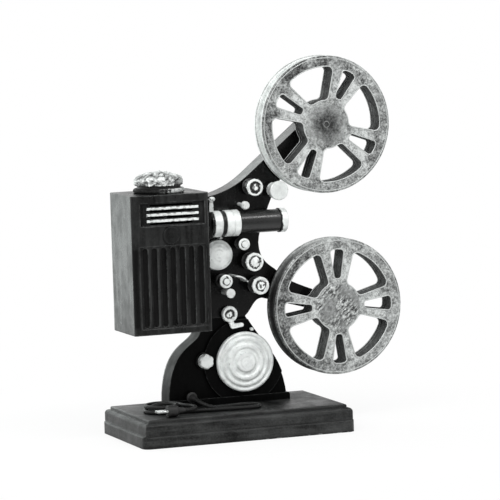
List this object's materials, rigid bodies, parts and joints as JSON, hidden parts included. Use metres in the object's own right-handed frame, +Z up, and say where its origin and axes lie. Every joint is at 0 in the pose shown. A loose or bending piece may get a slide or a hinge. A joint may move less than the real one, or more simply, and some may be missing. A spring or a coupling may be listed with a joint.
{
  "type": "film projector",
  "caption": "Film projector on a moulded plinth: lamp house with vented cap, focusing lens, film sprockets and rollers, supply and take-up reels on arms, speed dial and mains cord.",
  "frame": {"origin": "centre of the plinth's underside", "axes": "+X along the lens axis towards the screen, +Y from the front to the back, +Z up"},
  "size_m": [0.3843, 0.169, 0.4805],
  "materials": {
    "black_paint": "satin",
    "dark_enamel": "satin",
    "bright_metal": "satin",
    "pewter": "mottled",
    "steel": "satin",
    "brass": "satin",
    "glass": "clear",
    "porcelain": "glazed",
    "rubber": "matt"
  },
  "bodies": {
    "stand": {"plinth": "black_paint", "pedestal": "black_paint", "pedestal_back": "black_paint", "mechanism_housing": "black_paint", "rear_cover": "black_paint", "lamp_house": "black_paint", "film_gate": "black_paint", "condenser_tube": "black_paint", "lamp_house_floor": "dark_enamel", "badge_disc": "dark_enamel", "motor_can": "dark_enamel", "chimney_ring": "dark_enamel", "louvre_bars": "bright_metal", "fixed_studs": "bright_metal", "lens_mount": "bright_metal", "film_guides": "bright_metal", "lamp_reflector": "bright_metal", "cover_screws": "steel", "roller_pins": "steel", "plug_pins": "steel", "lamp_base": "brass", "lamp_bulb": "glass", "condenser_lenses": "glass", "lamp_socket": "porcelain", "feed_belt": "rubber", "motor_belt": "rubber", "take_up_belt": "rubber", "strain_relief": "rubber", "cord_lead": "rubber", "cord_coil": "rubber", "cord_tail": "rubber", "plug_body": "rubber"},
    "upper_reel": {"upper_reel_front": "pewter", "upper_reel_rear": "pewter", "upper_reel_core": "pewter", "upper_spindle": "steel"},
    "lower_reel": {"lower_reel_front": "pewter", "lower_reel_rear": "pewter", "lower_reel_core": "pewter", "lower_spindle": "steel"},
    "lens": {"lens_barrel": "black_paint", "lens_front_ring": "bright_metal", "lens_glass": "glass"},
    "focus_ring": {"focus_ring": "bright_metal"},
    "main_drive": {"inching_knob": "bright_metal", "main_gear": "brass"},
    "idler": {"idler_gear": "brass"},
    "feed_drive": {"feed_sprocket": "bright_metal"},
    "lower_drive": {"lower_sprocket": "bright_metal", "lower_gear": "brass"},
    "take_up_drive": {"take_up_sprocket": "bright_metal", "take_up_gear": "brass"},
    "motor_shaft": {"motor_rotor": "steel"},
    "gate_roller": {"gate_roller": "bright_metal"},
    "loop_roller": {"loop_roller": "bright_metal"},
    "snub_roller": {"snub_roller": "bright_metal"},
    "speed_dial": {"speed_dial": "bright_metal"},
    "switch_knob": {"switch_knob": "bright_metal"},
    "clutch_lever": {"clutch_lever": "bright_metal"},
    "vent_cap": {"vent_cap": "bright_metal"}
  },
  "joints": [
    {"name": "main_spin", "type": "hinge", "parent": "stand", "child": "main_drive", "pos_m": [-0.003, 0, 0.229], "axis": [0, 1, 0], "continuous": true},
    {"name": "idler_spin", "type": "hinge", "parent": "stand", "child": "idler", "pos_m": [0.01646, 0, 0.22437], "axis": [0, 1, 0], "continuous": true},
    {"name": "lower_sprocket_spin", "type": "hinge", "parent": "stand", "child": "lower_drive", "pos_m": [0.0398, 0, 0.2188], "axis": [0, 1, 0], "continuous": true},
    {"name": "take_up_spin", "type": "hinge", "parent": "stand", "child": "take_up_drive", "pos_m": [0.047, 0, 0.18762], "axis": [0, 1, 0], "continuous": true},
    {"name": "feed_spin", "type": "hinge", "parent": "stand", "child": "feed_drive", "pos_m": [0.0432, 0, 0.315], "axis": [0, 1, 0], "continuous": true},
    {"name": "motor_spin", "type": "hinge", "parent": "stand", "child": "motor_shaft", "pos_m": [0.029, 0, 0.0885], "axis": [0, 1, 0], "continuous": true},
    {"name": "upper_reel_spin", "type": "hinge", "parent": "stand", "child": "upper_reel", "pos_m": [0.1418, 0, 0.3915], "axis": [0, 1, 0], "continuous": true},
    {"name": "lower_reel_spin", "type": "hinge", "parent": "stand", "child": "lower_reel", "pos_m": [0.1518, 0, 0.1544], "axis": [0, 1, 0], "continuous": true},
    {"name": "gate_roller_spin", "type": "hinge", "parent": "stand", "child": "gate_roller", "pos_m": [0.027, 0, 0.2425], "axis": [0, 1, 0], "continuous": true},
    {"name": "loop_roller_spin", "type": "hinge", "parent": "stand", "child": "loop_roller", "pos_m": [0.0006, 0, 0.196], "axis": [0, 1, 0], "continuous": true},
    {"name": "snub_roller_spin", "type": "hinge", "parent": "stand", "child": "snub_roller", "pos_m": [0.07598, 0, 0.30905], "axis": [0, 1, 0], "continuous": true},
    {"name": "focus_turn", "type": "hinge", "parent": "stand", "child": "focus_ring", "pos_m": [0, 0, 0.2703], "axis": [1, 0, 0], "range_deg": [-75, 75]},
    {"name": "lens_travel", "type": "slide", "parent": "stand", "child": "lens", "axis": [1, 0, 0], "range_m": [-0.005, 0.005]},
    {"name": "dial_turn", "type": "hinge", "parent": "stand", "child": "speed_dial", "pos_m": [0.029, 0, 0.0885], "axis": [0, 1, 0], "range_deg": [-135, 135]},
    {"name": "switch_turn", "type": "hinge", "parent": "stand", "child": "switch_knob", "pos_m": [-0.025, 0, 0.0925], "axis": [0, 1, 0], "range_deg": [0, 90]},
    {"name": "lever_swing", "type": "hinge", "parent": "stand", "child": "clutch_lever", "pos_m": [0.01, 0, 0.1515], "axis": [0, -1, 0], "range_deg": [0, 40]},
    {"name": "cap_lift", "type": "slide", "parent": "stand", "child": "vent_cap", "axis": [0, 0, 1], "range_m": [0, 0.04]}
  ],
  "couplings": [
    {"joint": "idler_spin", "follows": "main_spin", "ratio": -1.5},
    {"joint": "lower_sprocket_spin", "follows": "main_spin", "ratio": 0.75},
    {"joint": "take_up_spin", "follows": "main_spin", "ratio": -0.75},
    {"joint": "feed_spin", "follows": "main_spin", "ratio": 0.75},
    {"joint": "motor_spin", "follows": "main_spin", "ratio": 3},
    {"joint": "focus_turn", "follows": "lens_travel", "rad_per_m": 261.8}
  ]
}
